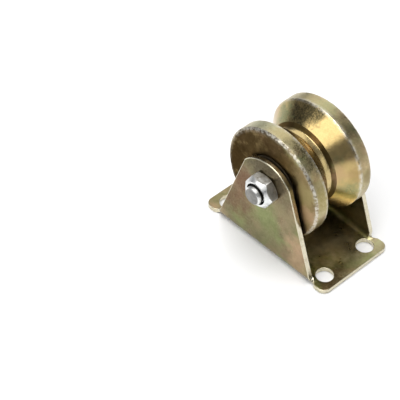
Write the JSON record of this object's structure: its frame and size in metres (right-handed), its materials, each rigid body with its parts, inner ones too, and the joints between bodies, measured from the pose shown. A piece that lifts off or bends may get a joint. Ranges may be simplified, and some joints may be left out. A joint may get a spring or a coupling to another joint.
{
  "type": "gate wheel",
  "caption": "V-groove steel gate wheel that turns on ball bearings between the ears of a folded sheet-steel bracket with a drilled base plate.",
  "frame": {"origin": "centre of the base plate's underside", "axes": "+Z from the plate up through the axle, +X along the plate and the track, +Y along the axle towards the bolt head"},
  "size_m": [0.084, 0.062, 0.074],
  "materials": {
    "bracket_zinc": "satin yellow-chromated zinc plating with green and pink tints",
    "wheel_zinc": "turned steel, yellow-chromated zinc plating, worn bright on the rims",
    "clear_zinc": "clear zinc plating, semi-bright",
    "bearing_steel": "ground steel",
    "ball_steel": "polished steel",
    "cage_steel": "pressed sheet steel",
    "shield_steel": "pressed sheet steel"
  },
  "bodies": {
    "frame": {"bracket": "bracket_zinc", "axle_bolt": "clear_zinc", "axle_nut": "clear_zinc", "bearing_spacer_tube": "bearing_steel", "ear_washer_front": "clear_zinc", "ear_washer_rear": "clear_zinc", "inner_ring_front": "bearing_steel", "inner_ring_rear": "bearing_steel"},
    "wheel": {"wheel": "wheel_zinc", "outer_ring_front": "bearing_steel", "shield_outer_front": "shield_steel", "shield_inner_front": "shield_steel", "outer_ring_rear": "bearing_steel", "shield_outer_rear": "shield_steel", "shield_inner_rear": "shield_steel"},
    "cage_front": {"balls_front": "ball_steel", "cage_outer_front": "cage_steel", "cage_inner_front": "cage_steel", "cage_rivets_front": "cage_steel"},
    "cage_rear": {"balls_rear": "ball_steel", "cage_outer_rear": "cage_steel", "cage_inner_rear": "cage_steel", "cage_rivets_rear": "cage_steel"}
  },
  "joints": [
    {"name": "wheel_spin", "type": "hinge", "parent": "frame", "child": "wheel", "pos_m": [0, 0, 0.044], "axis": [0, 1, 0], "continuous": true},
    {"name": "cage_front_spin", "type": "hinge", "parent": "frame", "child": "cage_front", "pos_m": [0, -0.0145, 0.044], "axis": [0, 1, 0], "continuous": true},
    {"name": "cage_rear_spin", "type": "hinge", "parent": "frame", "child": "cage_rear", "pos_m": [0, 0.0145, 0.044], "axis": [0, 1, 0], "continuous": true}
  ],
  "couplings": [
    {"joint": "cage_front_spin", "follows": "wheel_spin", "ratio": 0.619},
    {"joint": "cage_rear_spin", "follows": "wheel_spin", "ratio": 0.619}
  ]
}
